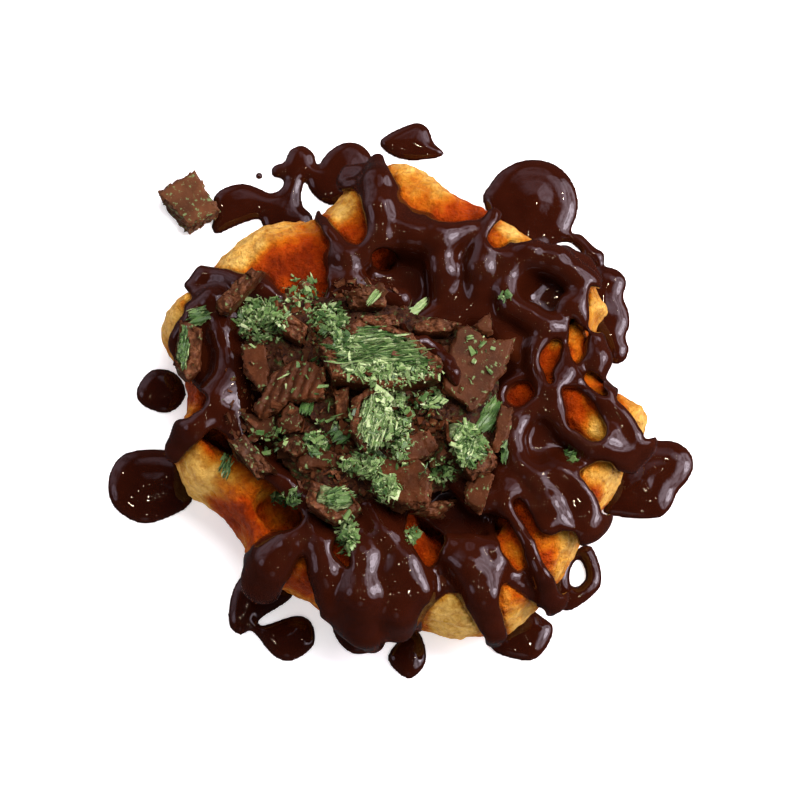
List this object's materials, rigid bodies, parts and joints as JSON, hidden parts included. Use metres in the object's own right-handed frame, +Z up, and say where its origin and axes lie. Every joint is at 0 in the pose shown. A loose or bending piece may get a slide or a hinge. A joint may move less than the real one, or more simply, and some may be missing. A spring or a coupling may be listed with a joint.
{
  "type": "liege waffle",
  "caption": "Thick Liege waffle with deep pockets, chocolate sauce that runs into puddles, and a heap of broken mint-filled chocolate on top.",
  "frame": {"origin": "on the underside, where two lower ridges cross near the middle, at the level the waffle rests on", "axes": "+Z up out of the top face; +X to the right and +Y away from the side the picture is taken from"},
  "size_m": [0.1491, 0.149, 0.0442],
  "materials": {
    "batter": "baked dough, pale gold on the thick rims and orange brown where it touched the iron",
    "sauce": "dark chocolate sauce, wet and glossy",
    "chocolate": "milk chocolate, satin with dusty broken edges",
    "mint": "pale green mint filling, fibrous and crumbly"
  },
  "bodies": {
    "root": {"block_bottom": "chocolate", "block_bottom_filling": "mint", "block_edge": "chocolate", "block_edge_filling": "mint", "block_low": "chocolate", "block_middle": "chocolate", "block_middle_filling": "mint", "block_right": "chocolate", "block_right_filling": "mint", "crumb_heap": "mint", "finger": "chocolate", "finger_low": "chocolate", "flake_left": "chocolate", "flake_low": "chocolate", "grooved": "chocolate", "piece_centre": "chocolate", "piece_left": "chocolate", "piece_low": "chocolate", "piece_low_left": "chocolate", "piece_ribbed": "chocolate", "piece_slab_left": "chocolate", "piece_tall": "chocolate", "piece_top": "chocolate", "piece_top_right": "chocolate", "puddle_bottom": "sauce", "puddle_bottom_drop": "sauce", "puddle_bottom_left": "sauce", "puddle_bottom_right": "sauce", "puddle_left": "sauce", "puddle_left_drop": "sauce", "puddle_right": "sauce", "puddle_right_low": "sauce", "puddle_ring": "sauce", "puddle_top_drop": "sauce", "puddle_top_left": "sauce", "puddle_top_right": "sauce", "sauce": "sauce", "shard_large": "chocolate", "shard_low": "chocolate", "shard_top": "chocolate", "shard_wet": "chocolate", "slab": "chocolate", "slab_filling": "mint", "square_stray": "chocolate", "waffle": "batter", "wedge": "chocolate"}
  },
  "joints": []
}
